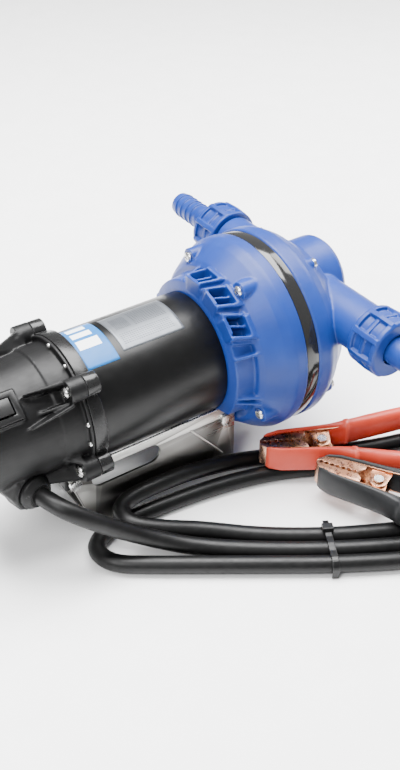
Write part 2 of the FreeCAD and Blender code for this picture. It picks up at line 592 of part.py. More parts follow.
# ---------------------------------------------------------------- bracket
def make_bracket():
    outline = [(-57.5, 0), (-74.5, 50.8), (-50.4, 50.8), (-50.4, 56.4), (57.5, 56.4), (57.5, 0), (41.5, 0),
               (36, 9), (26, 14), (-22, 14), (-35, 9), (-41.5, 0)]
    plates = []
    for low in ("channel_half - sheet_thick", "-channel_half"):
        body = new("PartDesign::Body", "plate")
        sketch = body.newObject("Sketcher::SketchObject", body.Name + "_outline")
        plane = [f for f in body.Origin.OriginFeatures if f.Role == "XZ_Plane"][0]
        sketch.AttachmentSupport = [(plane, "")]
        sketch.MapMode = "FlatFace"
        points = [V(a, b, 0) for a, b in outline]
        for i, point in enumerate(points):
            sketch.addGeometry(Part.LineSegment(point, points[(i + 1) % len(points)]), False)
        for i in range(len(points)):
            sketch.addConstraint(Sketcher.Constraint("Coincident", i, 2, (i + 1) % len(points), 1))
        pad = body.newObject("PartDesign::Pad", body.Name + "_pad")
        pad.Profile = sketch
        bind(pad, "Length", "sheet_thick")
        pad.Reversed = True
        place(body, 0, low, 0)
        plates.append(body)
    strips = [block("foot_wide", "2 * channel_half", "sheet_thick", low, "-channel_half", 0)
              for low in ("foot_outer - foot_wide", "-foot_outer")]
    slot = fuse(block(38, 80, 15, -50, -40, 35), rod(7.5, 80, x=-50, y=-40, z=42.5, along="y"),
                rod(7.5, 80, x=-12, y=-40, z=42.5, along="y"))
    holes = [rod("foot_hole", 6, x="%d * hole_spacing_x / 2" % sx, y="%d * hole_spacing_y / 2" % sy, z=-1,
                 along="z") for sx in (-1, 1) for sy in (-1, 1)]
    screw_holes = [rod(2.2, 80, x="rear_screw_x", y=-40, z="rear_screw_z", along="y"),
                   rod(2.2, 80, x="front_screw_x", y=-40, z="front_screw_z", along="y")]
    node("mounting_bracket", cut(fuse(*plates, *strips), slot, *holes, *screw_holes))
    screws = []
    for x, z in (("rear_screw_x", "rear_screw_z"), ("front_screw_x", "front_screw_z")):
        for sign in (1, -1):
            turn = TURN["y"] if sign > 0 else FreeCAD.Rotation(Z_AXIS, V(0, -1, 0))
            shank = rod(1.7, 12, x=x, y="%d * (channel_half - 12)" % sign, z=z, turn=turn)
            head = rod(4.2, 2.8, x=x, y="%d * channel_half" % sign, z=z, turn=turn)
            screws.append(fuse(shank, head))
    node("bracket_screws", group(*screws))


# ---------------------------------------------------------------- battery clamps
PIVOT_BACK = 44                 # jaw tip to pivot
CLAMPS = {"red": {"tip": (65, -52), "heading": -28.5}, "black": {"tip": (86, -89), "heading": -60}}


def prism(points, height, clamp, low):
    """A padded outline in a clamp's own frame: x back from the jaw tip, y outwards, z up."""
    body = new("PartDesign::Body", "prism")
    sketch = body.newObject("Sketcher::SketchObject", body.Name + "_outline")
    plane = [f for f in body.Origin.OriginFeatures if f.Role == "XY_Plane"][0]
    sketch.AttachmentSupport = [(plane, "")]
    sketch.MapMode = "FlatFace"
    corners = [V(a, b, 0) for a, b in points]
    for i, corner in enumerate(corners):
        sketch.addGeometry(Part.LineSegment(corner, corners[(i + 1) % len(corners)]), False)
    for i in range(len(corners)):
        sketch.addConstraint(Sketcher.Constraint("Coincident", i, 2, (i + 1) % len(corners), 1))
    pad = body.newObject("PartDesign::Pad", body.Name + "_pad")
    pad.Profile = sketch
    bind(pad, "Length", height)
    tip = clamp["tip"]
    return place(body, tip[0], tip[1], "clamp_lift + (%s)" % low, FreeCAD.Rotation(Z_AXIS, clamp["heading"]))


def pin_at(radius, height, clamp, low):
    """An upright cylinder on a clamp's pivot."""
    a = math.radians(clamp["heading"])
    x = clamp["tip"][0] + PIVOT_BACK * math.cos(a)
    y = clamp["tip"][1] + PIVOT_BACK * math.sin(a)
    return rod(radius, height, x="%.4f" % x, y="%.4f" % y, z="clamp_lift + (%s)" % low, along="z")


WIRE_ENTRY = (121.498, 27.95)     # middle of the handle's end face, in the clamp's frame
HANDLE_WAY = (-0.9681, -0.2506)
WIRE_DEPTH = 18


def wire_hole(clamp):
    """The hole in the handle's end that the lead runs into."""
    turn = FreeCAD.Rotation(Z_AXIS, clamp["heading"])
    start = V(clamp["tip"][0], clamp["tip"][1], 0) + turn.multVec(V(WIRE_ENTRY[0], WIRE_ENTRY[1], 0))
    way = turn.multVec(V(HANDLE_WAY[0], HANDLE_WAY[1], 0))
    start -= way
    return rod("lead_radius + 0.03", WIRE_DEPTH + 1.2, x=start.x, y=start.y, z="clamp_lift + clamp_wide / 2",
               turn=FreeCAD.Rotation(Z_AXIS, way))


def make_clamp(colour, clamp):
    strip = [(0, 0.3), (4.5, 4.4), (14.5, 7.7), (44, 9.1), (56.3, 10.1), (100, 21.6),
             (99.6, 23), (56, 11.5), (44, 10.5), (14, 9.1), (3.6, 5.8), (0, 2.2)]
    sleeve = [(4, 5.6), (14, 8.6), (44, 9.9), (50, 10.3), (54, 7.2), (58, 7), (122.6, 23.7), (120.4, 32.2),
              (56, 15.2), (44, 12.8), (13.6, 11.3), (3.4, 7.6)]
    teeth = []
    for i in range(7):
        teeth += [(1 + 4 * i, 0.3), (3 + 4 * i, 1.7)]
    wall = teeth + [(29, 0.3), (33, 5), (33, 8.2), (14.5, 7.8), (4.5, 4.5), (0.4, 0.7)]
    ear = [(37, 8.9), (51, 9.5), (50, 0), (38, 0)]
    for kind, side, ear_levels in (("fixed", 1, (3.2, 15.6)), ("moving", -1, (4.7, 14.1))):
        def outline(points):
            return [(a, side * b) for a, b in points]

        pieces = [prism(outline(strip), "clamp_wide - 3", clamp, 1.5)]
        for low in (1.5, 17.3):
            pieces.append(prism(outline(wall), 1.2, clamp, low))
        bores = []
        for low in ear_levels:
            pieces.append(prism(outline(ear), 1.2, clamp, low))
            pieces.append(pin_at(6, 1.2, clamp, low))
            bores.append(pin_at(2 if kind == "fixed" else 2.06, 3, clamp, low - 1))
        node("%s_%s_jaw" % (colour, kind), cut(fuse(*pieces), *bores))
        grip = [prism(outline(sleeve), "clamp_wide", clamp, 0), prism(outline(strip), "clamp_wide - 3", clamp, 1.5)]
        if kind == "fixed":
            grip.append(wire_hole(clamp))
        node("%s_%s_grip" % (colour, kind), cut(*grip))
    pin = fuse(pin_at(2, 15.6, clamp, 2.2), pin_at(3.4, 0.9, clamp, 1.3), pin_at(3.4, 0.9, clamp, 17.8))
    spring = cut(pin_at(5, 7.4, clamp, 6.3), pin_at(2.7, 7.4, clamp, 6.3))
    return pin, spring


# ---------------------------------------------------------------- cable
CABLE_ROUTE = [
    (-97.35, -39.64, 57), (-93.72, -54.19, 57), (-80, -64, 47), (-62, -69, 32), (-40, -77, 17.5), (-16, -92, 8.5),
    (17, -115.5, 6.1), (55, -141.5, 6.05), (96, -165, 6.05), (138, -184, 6.05), (184, -194, 6.05), (222, -181, 6.05),
    (234, -148, 6.05), (212, -118, 6.05), (176, -104, 6.05), (140, -94, 6.05), (104, -77, 6.05), (70, -60, 6.05),
    (32, -50, 6.05), (-6, -45, 6.05), (-36, -42.5, 6.05), (-57, -43.5, 6.05), (-72, -54, 6.05), (-68, -72, 6.05),
    (-47, -87, 6.05), (-20, -105.5, 6.05), (10.7, -126.4, 6.05), (48.4, -152, 6.05), (90, -176.6, 6.05),
    (134, -197.5, 6.05), (186, -207.5, 6.05), (234, -194, 6.05), (250, -150, 6.05), (226, -105, 6.05),
    (182, -90.5, 6.05), (146, -80, 6.05), (110, -62, 6.05), (76, -44, 6.05), (46, -39, 12), (14, -39, 19.5),
    (-14, -39.3, 22), (-35, -39.5, 22), (-48, -47, 22), (-47, -61, 21), (-30, -72, 16.5), (-5, -83, 10.5),
    (24, -104.6, 6.15), (61, -130.6, 6.05), (102, -152.6, 6.05), (136, -168, 6.05), (158, -162.4, 6.05),
    (172, -150, 9.2)]
SLEEVE_START = V(172, -150, 9.2)
SLEEVE_AIM = V(14, 12.4, 3.15)
RED_LEAD = [(188.15, -131.95, 13.29), (197.01, -124.11, 15.3), (206, -114.5, 18), (211, -103.5, 20.2),
            (208, -94, 21.7), (199.67, -89.05, 22.4), (185.11, -85.42, 22.4), (167.64, -81.07, 22.4)]
BLACK_LEAD = [(191.86, -136.15, 13.29), (200.72, -128.3, 15.3), (211, -130, 16.7), (217, -139.5, 18),
              (218, -152.5, 19), (214, -167, 20.2), (206, -181, 21.2), (194, -190.5, 22.4),
              (180.07, -189.52, 22.4), (170.96, -180.25, 22.4), (158.34, -167.41, 22.4)]
ARC_SHARE = 0.45


def cord(name, route, radius):
    """A tube along straight runs joined by the largest arcs that the runs allow."""
    points = [V(*p) for p in route]
    edges = []
    start = points[0]
    radii = []
    for before, corner, after in zip(points, points[1:], points[2:]):
        back, ahead = (before - corner), (after - corner)
        reach = ARC_SHARE * min(back.Length, ahead.Length)
        back.normalize()
        ahead.normalize()
        turn = math.pi - back.getAngle(ahead)
        bend = reach / math.tan(turn / 2)
        radii.append(bend)
        middle = back + ahead
        middle.normalize()
        heart = corner + middle * (bend / math.cos(turn / 2))
        first, last = corner + back * reach, corner + ahead * reach
        edges.append(Part.LineSegment(start, first).toShape())
        edges.append(Part.Arc(first, heart - middle * bend, last).toShape())
        start = last
    edges.append(Part.LineSegment(start, points[-1]).toShape())
    path = Part.Wire(edges)
    aim = points[1] - points[0]
    rim = Part.Wire([Part.makeCircle(radius, points[0], aim)])
    shape = path.makePipeShell([rim], True, False)
    item = doc.addObject("Part::Feature", name)
    item.Shape = shape
    node(name, item)
    expected = math.pi * radius ** 2 * path.Length
    print("%s length %.1f, volume ratio %.4f, tightest arc %.1f, radii %s"
          % (name, path.Length, shape.Volume / expected, min(radii), " ".join("%.0f" % r for r in radii)))


def make_cable():
    cord("power_cable", CABLE_ROUTE, size("cable_radius"))
    cord("red_lead", RED_LEAD, size("lead_radius"))
    cord("black_lead", BLACK_LEAD, size("lead_radius"))
    turn = FreeCAD.Rotation(Z_AXIS, SLEEVE_AIM)
    node("split_sleeve", rod(6.9, 24.4, x=SLEEVE_START.x, y=SLEEVE_START.y, z=SLEEVE_START.z, turn=turn))
    band = []
    middle = V(55.5, -141.8, 6.05)
    aim = V(41, -23, 0)
    aim.normalize()
    side = V(-aim.y, aim.x, 0)
    turn = FreeCAD.Rotation(aim, side, Z_AXIS, "XYZ")
    corner = middle - aim * 2.4 - side * 20.6
    outer = block(4.8, 41.2, 13.6, corner.x, corner.y, 0, turn)
    corner = middle - aim * 3 - side * 19.6
    inner = block(6, 39.2, 12.7, corner.x, corner.y, -0.2, turn)
    corner = middle - aim * 3.4 + side * 4
    lock = block(6.8, 7, 4.4, corner.x, corner.y, 12.1, turn)
    node("cable_tie", fuse(cut(outer, inner), lock))


# ---------------------------------------------------------------- labels and the whole pump
def label(x, long, start, sweep):
    """A thin foil wrapped part of the way round the motor can."""
    turn = FreeCAD.Rotation(X_AXIS, start).multiply(TURN["x"]).multiply(FreeCAD.Rotation(Z_AXIS, 90))
    outer = rod("motor_radius + 0.3", long, x=x, turn=turn, angle=sweep)
    return cut(outer, rod("motor_radius", long, x=x))


make_motor()
make_rear_cover()
make_switch_and_gland()
make_housing()
make_wobble()
make_valve_block()
make_head()
make_bypass()
make_band()
make_ports()
make_bracket()
pins_and_springs = [make_clamp(colour, clamp) for colour, clamp in CLAMPS.items()]
node("clamp_pins", group(*[pair[0] for pair in pins_and_springs]))
node("clamp_springs", group(*[pair[1] for pair in pins_and_springs]))
make_cable()
node("motor_label", label(-49.5, 22.5, 66, 58))
node("rating_label", label(-22.5, 46, 72, 47))

doc.recompute()
bad = [o.Name for o in doc.Objects if "Invalid" in o.State or "Error" in o.State]
for item in NODES:
    shape = item.Shape
    if shape.isNull() or not shape.isValid() or shape.Volume <= 0:
        bad.append(item.Label)
if bad:
    raise SystemExit("these did not build: " + ", ".join(bad))
os.makedirs("parts", exist_ok=True)
for item in NODES:
    item.Shape.exportStep("parts/%s.step" % item.Label)
print(len(NODES), "nodes written")
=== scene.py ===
import json
import math

import bmesh
import bpy
from mathutils import Matrix, Vector


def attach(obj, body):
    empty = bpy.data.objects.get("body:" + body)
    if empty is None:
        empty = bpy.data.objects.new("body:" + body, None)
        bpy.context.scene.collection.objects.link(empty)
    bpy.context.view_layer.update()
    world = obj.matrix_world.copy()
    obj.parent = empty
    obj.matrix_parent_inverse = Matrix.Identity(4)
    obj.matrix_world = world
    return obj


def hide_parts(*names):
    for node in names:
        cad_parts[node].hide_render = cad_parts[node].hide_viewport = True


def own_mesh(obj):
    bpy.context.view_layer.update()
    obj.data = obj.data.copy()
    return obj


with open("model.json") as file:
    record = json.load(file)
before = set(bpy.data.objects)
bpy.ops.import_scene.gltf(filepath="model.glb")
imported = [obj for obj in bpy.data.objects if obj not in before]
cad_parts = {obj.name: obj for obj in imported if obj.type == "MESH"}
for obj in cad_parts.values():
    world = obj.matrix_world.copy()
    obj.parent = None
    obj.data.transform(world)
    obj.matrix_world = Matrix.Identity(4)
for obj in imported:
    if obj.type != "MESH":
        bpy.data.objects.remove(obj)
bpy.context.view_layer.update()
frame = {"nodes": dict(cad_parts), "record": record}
CAD = frame["nodes"]
scene = bpy.context.scene
MM = 0.001
AXIS_Z = 88                     # motor axis above the feet, in mm
LIFT = 112                      # port axis above the feet
PORT_X = 133.5
CLAMP_Z = 22.4                  # middle plane of both battery clamps
CABLE_RADIUS = 6
LEAD_RADIUS = 2.75
CABLE_Z = 6.05                  # middle of a cable strand that lies on the ground


# ---------------------------------------------------------------- camera
camera = bpy.data.objects.new("camera", bpy.data.cameras.new("camera"))
scene.collection.objects.link(camera)
camera.data.lens = 46.75
camera.data.clip_start = 0.01
to_right = Vector((0.82426, -0.56622, 0))
to_up = Vector((0.341, 0.497, 0.797))
to_back = Vector((-0.45127, -0.65693, 0.60399))
turn = Matrix((to_right, to_up, to_back)).transposed().to_4x4()
camera.matrix_world = Matrix.Translation((-0.2724, -0.46907, 0.4861)) @ turn
scene.camera = camera


# ---------------------------------------------------------------- materials
GRAIN_DEPTH = 0.0002


def shader(name):
    made = bpy.data.materials.new(name)
    made.use_nodes = True
    tree = made.node_tree
    surface = tree.nodes["Principled BSDF"]

    def add(kind, **values):
        item = tree.nodes.new("ShaderNode" + kind)
        for key, value in values.items():
            if hasattr(item, key) and key not in item.inputs:
                setattr(item, key, value)
            else:
                item.inputs[key].default_value = value
        return item

    return made, tree, surface, add


def noise(tree, add, scale, stretch=(1, 1, 1), detail=3):
    place = add("TexCoord")
    mapping = add("Mapping", Scale=stretch)
    tree.links.new(place.outputs["Object"], mapping.inputs["Vector"])
    made = add("TexNoise", Scale=scale, Detail=detail)
    tree.links.new(mapping.outputs["Vector"], made.inputs["Vector"])
    return made


def ramp(tree, add, source, stops):
    made = add("ValToRGB")
    element = made.color_ramp.elements
    while len(element) < len(stops):
        element.new(0.5)
    for item, (where, colour) in zip(element, stops):
        item.position = where
        item.color = (*colour, 1) if hasattr(colour, "__len__") else (colour, colour, colour, 1)
    tree.links.new(source, made.inputs["Fac"])
    return made


def finish(name, colour, other, rough, metallic=0.0, grain=900, bump=0.05, blotch=30, stretch=(1, 1, 1),
           worn=None, specular=0.5):
    """A surface with colour variation, uneven gloss, a fine grain and, if asked, paler worn edges."""
    made, tree, surface, add = shader(name)
    cloud = noise(tree, add, blotch, stretch)
    tint = ramp(tree, add, cloud.outputs["Fac"], [(0.35, colour), (0.68, other)])
    paint = tint.outputs["Color"]
    if worn:
        edge = add("NewGeometry")
        rim = ramp(tree, add, edge.outputs["Pointiness"], [(0.52, 0.0), (0.6, 1.0)])
        mix = add("Mix", data_type="RGBA")
        tree.links.new(rim.outputs["Color"], mix.inputs[0])
        tree.links.new(paint, mix.inputs[6])
        mix.inputs[7].default_value = (*worn, 1)
        paint = mix.outputs[2]
    tree.links.new(paint, surface.inputs["Base Color"])
    haze = noise(tree, add, blotch * 5, stretch)
    gloss = ramp(tree, add, haze.outputs["Fac"], [(0.3, rough[0]), (0.7, rough[1])])
    tree.links.new(gloss.outputs["Color"], surface.inputs["Roughness"])
    fine = noise(tree, add, grain, stretch, 4)
    relief = add("Bump", Strength=bump, Distance=GRAIN_DEPTH)
    tree.links.new(fine.outputs["Fac"], relief.inputs["Height"])
    tree.links.new(relief.outputs["Normal"], surface.inputs["Normal"])
    surface.inputs["Metallic"].default_value = metallic
    surface.inputs["Specular IOR Level"].default_value = specular
    return made


def printed(name, ground, ink, shapes, rough, metallic):
    """A label: ink where any of the shapes covers the label's own u and v. A shape is
    (low u, high u, low v, high v, slant, repeat in u, repeat in v, share inked in u, share inked in v)."""
    made, tree, surface, add = shader(name)
    place = add("TexCoord")
    split = add("SeparateXYZ")
    tree.links.new(place.outputs["UV"], split.inputs["Vector"])

    def maths(kind, a, b=None):
        item = add("Math", operation=kind)
        for index, value in enumerate((a, b)):
            if value is None:
                continue
            if isinstance(value, (int, float)):
                item.inputs[index].default_value = value
            else:
                tree.links.new(value, item.inputs[index])
        return item.outputs[0]

    total = None
    for low_u, high_u, low_v, high_v, slant, times_u, times_v, share_u, share_v in shapes:
        v = split.outputs["Y"]
        u = maths("SUBTRACT", split.outputs["X"], maths("MULTIPLY", v, slant))
        inside = maths("MULTIPLY", maths("GREATER_THAN", u, low_u), maths("LESS_THAN", u, high_u))
        inside = maths("MULTIPLY", inside, maths("MULTIPLY", maths("GREATER_THAN", v, low_v),
                                                 maths("LESS_THAN", v, high_v)))
        for value, low, high, times, share in ((u, low_u, high_u, times_u, share_u),
                                               (v, low_v, high_v, times_v, share_v)):
            if times > 1:
                along = maths("MULTIPLY", maths("SUBTRACT", value, low), times / (high - low))
                inside = maths("MULTIPLY", inside, maths("LESS_THAN", maths("FRACT", along), share))
        total = inside if total is None else maths("MAXIMUM", total, inside)
    mix = add("Mix", data_type="RGBA")
    tree.links.new(total, mix.inputs[0])
    cloud = noise(tree, add, 60)
    tint = ramp(tree, add, cloud.outputs["Fac"], [(0.3, ground), (0.75, tuple(c * 0.86 for c in ground))])
    tree.links.new(tint.outputs["Color"], mix.inputs[6])
    mix.inputs[7].default_value = (*ink, 1)
    tree.links.new(mix.outputs[2], surface.inputs["Base Color"])
    gloss = ramp(tree, add, noise(tree, add, 300).outputs["Fac"], [(0.3, rough[0]), (0.7, rough[1])])
    tree.links.new(gloss.outputs["Color"], surface.inputs["Roughness"])
    surface.inputs["Metallic"].default_value = metallic
    surface.inputs["Specular IOR Level"].default_value = 0.2
    return made


BLUE = finish("blue_mould", (0.006, 0.027, 0.17), (0.009, 0.036, 0.21), (0.36, 0.46), grain=1500, bump=0.12,
              worn=(0.02, 0.07, 0.32), specular=0.28)
COVER = finish("black_mould", (0.0028, 0.0028, 0.003), (0.0042, 0.0042, 0.0044), (0.4, 0.5), grain=1300,
               bump=0.3, worn=(0.02, 0.02, 0.02), specular=0.22)
CAN = finish("can_paint", (0.0014, 0.0014, 0.0015), (0.002, 0.002, 0.0021), (0.3, 0.36), grain=700, bump=0.02,
             specular=0.26)
CASTING = finish("end_bell_paint", (0.0022, 0.0022, 0.0024), (0.0034, 0.0034, 0.0035), (0.2, 0.3), grain=900,
                 bump=0.15, worn=(0.03, 0.03, 0.03), specular=0.3)
BAND = finish("band_gloss", (0.002, 0.002, 0.002), (0.004, 0.004, 0.004), (0.08, 0.16), grain=300, bump=0.05,
              worn=(0.03, 0.03, 0.03), specular=0.5)
STAINLESS = finish("stainless", (0.12, 0.116, 0.11), (0.18, 0.175, 0.165), (0.26, 0.42), metallic=1.0,
                   grain=900, bump=0.12, blotch=40, stretch=(0.06, 1, 1), worn=(0.85, 0.84, 0.8))
SCREW = finish("screw_steel", (0.5, 0.5, 0.49), (0.66, 0.65, 0.63), (0.18, 0.32), metallic=1.0,
               grain=1600, bump=0.1, blotch=300, worn=(0.9, 0.9, 0.88))
INNER_STEEL = finish("inner_steel", (0.4, 0.4, 0.41), (0.55, 0.55, 0.55), (0.25, 0.4), metallic=1.0, grain=1200,
                     bump=0.08)
COPPER = finish("copper", (0.42, 0.17, 0.08), (0.56, 0.27, 0.15), (0.22, 0.38), metallic=1.0,
                grain=700, bump=0.1, blotch=120, worn=(0.85, 0.55, 0.4))
WIRE = finish("winding_wire", (0.45, 0.16, 0.05), (0.6, 0.25, 0.08), (0.25, 0.4), metallic=0.8,
              grain=2500, bump=0.5, stretch=(0.2, 1, 1))
FERRITE = finish("ferrite", (0.03, 0.03, 0.033), (0.05, 0.05, 0.053), (0.6, 0.8), grain=900, bump=0.3)
CARBON = finish("carbon", (0.008, 0.008, 0.008), (0.02, 0.02, 0.02), (0.5, 0.7), grain=2000, bump=0.3)
CABLE = finish("cable_rubber", (0.0018, 0.0018, 0.0019), (0.003, 0.003, 0.0031), (0.36, 0.48), grain=1200,
               bump=0.1, blotch=60, specular=0.24)
RUBBER = finish("soft_rubber", (0.004, 0.004, 0.0042), (0.008, 0.008, 0.008), (0.5, 0.65), grain=1500,
                bump=0.25, specular=0.25)
NYLON = finish("nylon", (0.0026, 0.0026, 0.0028), (0.0045, 0.0045, 0.0047), (0.3, 0.4), grain=1200, bump=0.1,
               worn=(0.02, 0.02, 0.02), specular=0.3)
RED = finish("red_vinyl", (0.43, 0.032, 0.014), (0.52, 0.05, 0.024), (0.34, 0.46), grain=900, bump=0.08,
             worn=(0.62, 0.1, 0.06), specular=0.35)
GREY = finish("black_vinyl", (0.008, 0.0085, 0.0095), (0.013, 0.0135, 0.0145), (0.36, 0.5), grain=900, bump=0.1,
              worn=(0.03, 0.03, 0.03), specular=0.3)
RED_WIRE = finish("red_insulation", (0.4, 0.012, 0.01), (0.5, 0.02, 0.016), (0.3, 0.42), grain=1200, bump=0.08,
                  specular=0.35)
BLUE_LABEL = printed("blue_label", (0.012, 0.125, 0.36), (0.8, 0.83, 0.85),
                     [(0.04, 0.62, 0.8, 0.93, 0.15, 1, 1, 1, 1), (0.04, 0.66, 0.6, 0.73, 0.15, 1, 1, 1, 1),
                      (0.04, 0.74, 0.34, 0.53, 0.15, 1, 1, 1, 1)],
                     (0.3, 0.4), 0.0)
SILVER_LABEL = printed("silver_label", (0.13, 0.14, 0.155), (0.04, 0.043, 0.05),
                       [(0.08, 0.9, 0.12, 0.38, 0, 22, 6, 0.66, 0.42),
                        (0.4, 0.92, 0.46, 0.9, 0, 13, 10, 0.72, 0.4),
                        (0.1, 0.34, 0.48, 0.84, 0, 11, 11, 0.6, 0.6)], (0.3, 0.42), 0.5)
FLOOR = finish("floor", (0.9, 0.9, 0.9), (0.93, 0.93, 0.93), (0.6, 0.7), grain=200, bump=0.02)


# ---------------------------------------------------------------- mesh tools
def linked(name, mesh):
    made = bpy.data.objects.new(name, mesh)
    scene.collection.objects.link(made)
    return made


def copied(node, name):
    mesh = CAD[node].data.copy()
    shape = bmesh.new()
    shape.from_mesh(mesh)
    bmesh.ops.remove_doubles(shape, verts=shape.verts, dist=2e-6)
    shape.to_mesh(mesh)
    shape.free()
    if mesh.has_custom_normals:
        mesh.attributes.remove(mesh.attributes["custom_normal"])
    mesh.materials.clear()
    return linked(name, mesh)


def rows_mesh(name, rows):
    """A closed skin over equal rings of points, in mm."""
    shape = bmesh.new()
    made = [[shape.verts.new(Vector(p) * MM) for p in row] for row in rows]
    count = len(made[0])
    for a, b in zip(made, made[1:]):
        for i in range(count):
            shape.faces.new((a[i], a[(i + 1) % count], b[(i + 1) % count], b[i]))
    shape.faces.new(list(reversed(made[0])))
    shape.faces.new(made[-1])
    bmesh.ops.recalc_face_normals(shape, faces=shape.faces)
    mesh = bpy.data.meshes.new(name)
    shape.to_mesh(mesh)
    shape.free()
    return linked(name, mesh)


def basis(direction):
    z = Vector(direction).normalized()
    x = z.orthogonal().normalized()
    return x, z.cross(x), z


def spun(name, start, direction, profile, sides=64):
    """A solid turned round an axis. The profile is (distance along, radius), in mm."""
    x, y, z = basis(direction)
    origin = Vector(start)
    rows = []
    for along, radius in profile:
        rows.append([origin + z * along + (x * math.cos(a) + y * math.sin(a)) * max(radius, 0.01)
                     for a in (math.tau * i / sides for i in range(sides))])
    return rows_mesh(name, rows)


def hull(name, points):
    shape = bmesh.new()
    for p in points:
        shape.verts.new(Vector(p) * MM)
    bmesh.ops.convex_hull(shape, input=shape.verts)
    mesh = bpy.data.meshes.new(name)
    shape.to_mesh(mesh)
    shape.free()
    return linked(name, mesh)


def polar(x, radius, angle, side=0.0):
    """A point round the motor axis, in mm. Angle 0 is +Y and 90 is up; side is along the circle."""
    a = math.radians(angle)
    return Vector((x, radius * math.cos(a) - side * math.sin(a),
                   AXIS_Z + radius * math.sin(a) + side * math.cos(a)))


def slab(name, x0, x1, r0, r1, angle, wide, wide_top):
    """A block standing on the motor's circle."""
    return hull(name, [polar(x, r, angle, s * w / 2) for x in (x0, x1) for r, w in ((r0, wide), (r1, wide_top))
                       for s in (-1, 1)])


def baked(item, name=None):
    """The object with its modifiers applied, as a plain mesh object."""
    graph = bpy.context.evaluated_depsgraph_get()
    mesh = bpy.data.meshes.new_from_object(item.evaluated_get(graph))
    wanted = name or item.name
    bpy.data.objects.remove(item)
    return linked(wanted, mesh)


def joined(name, items):
    shape = bmesh.new()
    for item in items:
        shape.from_mesh(item.data)
        bpy.data.objects.remove(item)
    mesh = bpy.data.meshes.new(name)
    shape.to_mesh(mesh)
    shape.free()
    return linked(name, mesh)


def without(item, cutters):
    for cutter in cutters:
        tool = item.modifiers.new("cut", "BOOLEAN")
        tool.object = cutter
        tool.solver = "EXACT"
    made = baked(item)
    for cutter in cutters:
        bpy.data.objects.remove(cutter)
    return made


def moulded(name, items, voxel, smooth):
    """Overlapping solids merged into one skin with soft moulded edges."""
    item = joined(name + "_rough", items)
    remesh = item.modifiers.new("remesh", "REMESH")
    remesh.mode = "VOXEL"
    remesh.voxel_size = voxel * MM
    relax = item.modifiers.new("relax", "SMOOTH")
    relax.factor = 0.5
    relax.iterations = smooth
    return baked(item, name)


def dressed(item, paint, body, nodes=(), smooth_angle=None):
    item.data.materials.clear()
    item.data.materials.append(paint)
    for face in item.data.polygons:
        face.use_smooth = True
    if smooth_angle:
        item.data.set_sharp_from_angle(angle=math.radians(smooth_angle))
    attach(item, body)
    if nodes:
        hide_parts(*nodes)
    return item


def eased(node, paint, wide, segments=2):
    """The CAD piece with rounded edges."""
    item = copied(node, node + "_look")
    edge = item.modifiers.new("edge", "BEVEL")
    edge.width = wide * MM
    edge.segments = segments
    edge.limit_method = "ANGLE"
    edge.angle_limit = math.radians(32)
    edge.harden_normals = False
    item = baked(item)
    return dressed(item, paint, BODY[node], (node,), 38)


BODY = {n: b for b, ns in frame["record"]["behaviour"]["bodies"].items() for n in ns}


# ---------------------------------------------------------------- cords
def cord(name, points, radius, paint, node):
    curve = bpy.data.curves.new(name, "CURVE")
    curve.dimensions = "3D"
    spline = curve.splines.new("NURBS")
    spline.points.add(len(points) - 1)
    for point, place in zip(spline.points, points):
        point.co = (*place, 1)
    spline.order_u = 3
    spline.use_endpoint_u = True
    spline.resolution_u = 10
    curve.bevel_depth = radius
    curve.bevel_resolution = 6
    curve.use_fill_caps = True
    item = linked(name, curve)
    curve.materials.append(paint)
    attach(item, "pump")
    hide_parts(node)
    return item


CABLE_ROUTE = [
    (-0.09735, -0.03964, 0.057), (-0.09372, -0.05419, 0.057), (-0.08, -0.064, 0.047), (-0.062, -0.069, 0.032),
    (-0.04, -0.077, 0.0175), (-0.016, -0.092, 0.0085), (0.017, -0.1155, 0.0061), (0.055, -0.1415, 0.00605),
    (0.096, -0.165, 0.00605), (0.138, -0.184, 0.00605), (0.184, -0.194, 0.00605), (0.222, -0.181, 0.00605),
    (0.234, -0.148, 0.00605), (0.212, -0.118, 0.00605), (0.176, -0.104, 0.00605), (0.14, -0.094, 0.00605),
    (0.104, -0.077, 0.00605), (0.07, -0.06, 0.00605), (0.032, -0.05, 0.00605), (-0.006, -0.045, 0.00605),
    (-0.036, -0.0425, 0.00605), (-0.057, -0.0435, 0.00605), (-0.072, -0.054, 0.00605),
    (-0.068, -0.072, 0.00605), (-0.047, -0.087, 0.00605), (-0.02, -0.1055, 0.00605), (0.0107, -0.1264, 0.00605),
    (0.0484, -0.152, 0.00605), (0.09, -0.1766, 0.00605), (0.134, -0.1975, 0.00605), (0.186, -0.2075, 0.00605),
    (0.234, -0.194, 0.00605), (0.25, -0.15, 0.00605), (0.226, -0.105, 0.00605), (0.182, -0.0905, 0.00605),
    (0.146, -0.08, 0.00605), (0.11, -0.062, 0.00605), (0.076, -0.044, 0.00605), (0.046, -0.039, 0.012),
    (0.014, -0.039, 0.0195), (-0.014, -0.0393, 0.022), (-0.035, -0.0395, 0.022), (-0.048, -0.047, 0.022),
    (-0.047, -0.061, 0.021), (-0.03, -0.072, 0.0165), (-0.005, -0.083, 0.0105), (0.024, -0.1046, 0.00615),
    (0.061, -0.1306, 0.00605), (0.102, -0.1526, 0.00605), (0.136, -0.168, 0.00605), (0.158, -0.1624, 0.00605),
    (0.172, -0.15, 0.0092)
]
RED_ROUTE = [
    (0.18815, -0.13195, 0.01329), (0.19701, -0.12411, 0.0153), (0.206, -0.1145, 0.018),
    (0.211, -0.1035, 0.0202), (0.208, -0.094, 0.0217), (0.19967, -0.08905, 0.0224), (0.18511, -0.08542, 0.0224),
    (0.16764, -0.08107, 0.0224)
]
